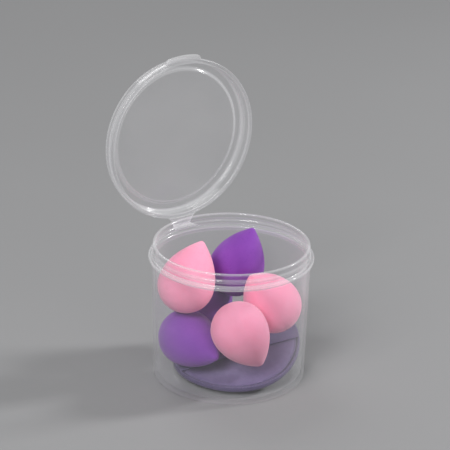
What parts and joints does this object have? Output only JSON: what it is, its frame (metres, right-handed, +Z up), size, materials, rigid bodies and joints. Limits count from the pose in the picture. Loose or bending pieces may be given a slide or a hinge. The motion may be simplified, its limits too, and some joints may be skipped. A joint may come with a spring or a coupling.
{
  "type": "flip lid storage jar with make-up sponges",
  "caption": "Round clear jar with a strap-hinged flip lid and thumb tab, filled with small teardrop sponges on a round sewn powder puff.",
  "frame": {"origin": "centre of the jar's flat base, on the surface it stands on", "axes": "+Z up along the jar's axis; +Y towards the hinge; -Y towards the lid's thumb tab when shut"},
  "size_m": [0.0746, 0.0837, 0.1364],
  "materials": {
    "clear_plastic": "slightly milky clear polypropylene",
    "pink_foam": "matte fine-celled foam",
    "purple_foam": "matte fine-celled foam",
    "puff_cloth": "smooth short-nap cloth",
    "puff_filling": "foam, hidden",
    "ribbon": "woven satin ribbon"
  },
  "bodies": {
    "jar": {"jar_body": "clear_plastic", "hinge_leaf_jar": "clear_plastic"},
    "lid": {"lid": "clear_plastic", "hinge_leaf_lid": "clear_plastic"},
    "puff": {"puff_face": "puff_cloth", "puff_back": "puff_cloth", "puff_core": "puff_filling", "puff_binding": "puff_cloth", "puff_ribbon": "ribbon"},
    "purple_mid": {"sponge_purple_mid": "purple_foam"},
    "purple_left": {"sponge_purple_left": "purple_foam"},
    "purple_back": {"sponge_purple_back": "purple_foam"},
    "pink_left": {"sponge_pink_left": "pink_foam"},
    "pink_front": {"sponge_pink_front": "pink_foam"},
    "pink_right": {"sponge_pink_right": "pink_foam"}
  },
  "joints": [
    {"name": "lid_hinge", "type": "hinge", "parent": "jar", "child": "lid", "pos_m": [0, 0.0403, 0.0568], "axis": [-1, 0, 0], "range_deg": [-90, 90]},
    {"name": "puff_lift", "type": "slide", "parent": "jar", "child": "puff", "axis": [0, 0, 1], "range_m": [0, 0.062]},
    {"name": "purple_mid_lift", "type": "slide", "parent": "puff", "child": "purple_mid", "axis": [0, 0, 1], "range_m": [0, 0.055]},
    {"name": "purple_back_lift", "type": "slide", "parent": "purple_mid", "child": "purple_back", "axis": [0, 0, 1], "range_m": [0, 0.036]},
    {"name": "purple_left_lift", "type": "slide", "parent": "purple_mid", "child": "purple_left", "axis": [0, 0, 1], "range_m": [0, 0.058]},
    {"name": "pink_left_lift", "type": "slide", "parent": "purple_left", "child": "pink_left", "axis": [0, 0, 1], "range_m": [0, 0.033]},
    {"name": "pink_front_lift", "type": "slide", "parent": "purple_left", "child": "pink_front", "axis": [0, 0, 1], "range_m": [0, 0.054]},
    {"name": "pink_right_lift", "type": "slide", "parent": "pink_front", "child": "pink_right", "axis": [0, 0, 1], "range_m": [0, 0.045]}
  ]
}
